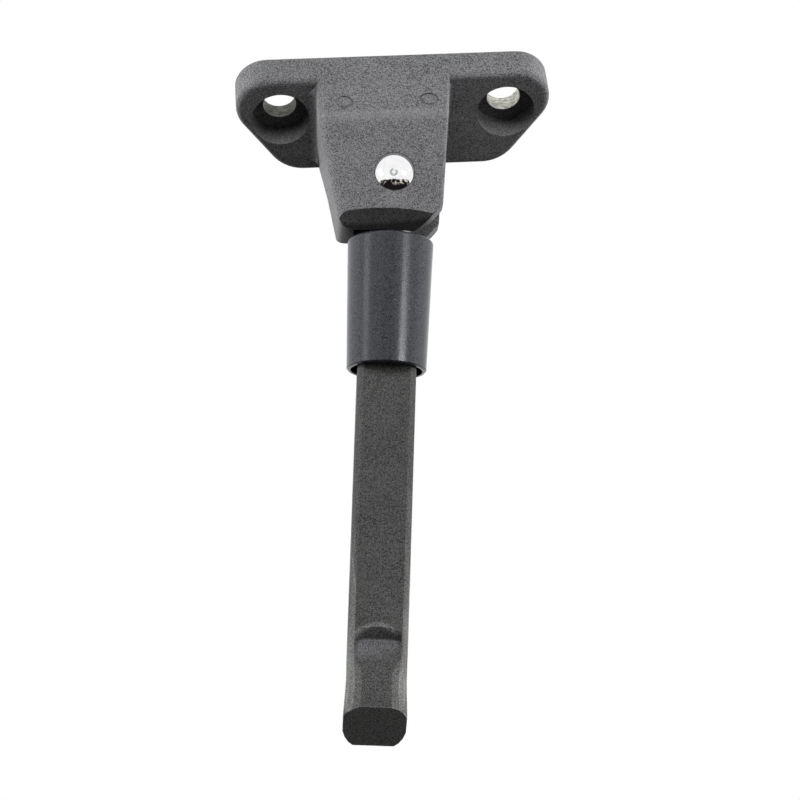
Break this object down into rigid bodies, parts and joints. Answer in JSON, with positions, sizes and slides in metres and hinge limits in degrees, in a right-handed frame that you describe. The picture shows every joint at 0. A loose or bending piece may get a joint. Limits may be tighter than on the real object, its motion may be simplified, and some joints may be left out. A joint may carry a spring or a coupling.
{
  "type": "electric scooter kickstand",
  "caption": "Side stand for an electric scooter: cast bracket for the deck, folding bevelled leg and a sprung locking sleeve on a riveted pivot pin.",
  "frame": {"origin": "middle of the two screw holes on the face that lies against the scooter's deck", "axes": "+Z out of the mounting face into the deck, +X along the screw holes towards the side the leg folds to, +Y outwards, the way the lowered leg leans"},
  "size_m": [0.0604, 0.0678, 0.1127],
  "materials": {
    "bracket": "fine textured powder coat on a zinc casting",
    "leg": "fine textured powder coat on a forged aluminium bar",
    "sleeve": "smooth semi-gloss",
    "pivot_pin": "plated and polished",
    "tail_washer": "zinc plated",
    "thrust_washer": "plain",
    "stem": "turned, lightly greased",
    "eye_bush": "sintered bronze",
    "stem_lock_pin": "ground",
    "spring_seat": "zinc plated",
    "spring": "drawn wire"
  },
  "bodies": {
    "bracket": {"bracket": "bracket", "pivot_pin": "pivot_pin", "tail_washer": "tail_washer", "thrust_washer_front": "thrust_washer", "thrust_washer_rear": "thrust_washer"},
    "leg": {"stem": "stem", "eye_bush": "eye_bush", "stem_lock_pin": "stem_lock_pin", "spring_seat": "spring_seat", "spring": "spring", "leg": "leg"},
    "sleeve": {"sleeve": "sleeve"}
  },
  "joints": [
    {"name": "leg_fold", "type": "hinge", "parent": "bracket", "child": "leg", "pos_m": [-0.0012, 0.00416, -0.02306], "axis": [0, -0.8746, -0.4848], "range_deg": [0, 95]},
    {"name": "sleeve_slide", "type": "slide", "parent": "leg", "child": "sleeve", "axis": [-0.0872, 0.483, -0.8713], "range_m": [0, 0.004], "stiffness_N_per_m": 2500, "springref_m": -0.004, "deforming": ["spring"]}
  ]
}
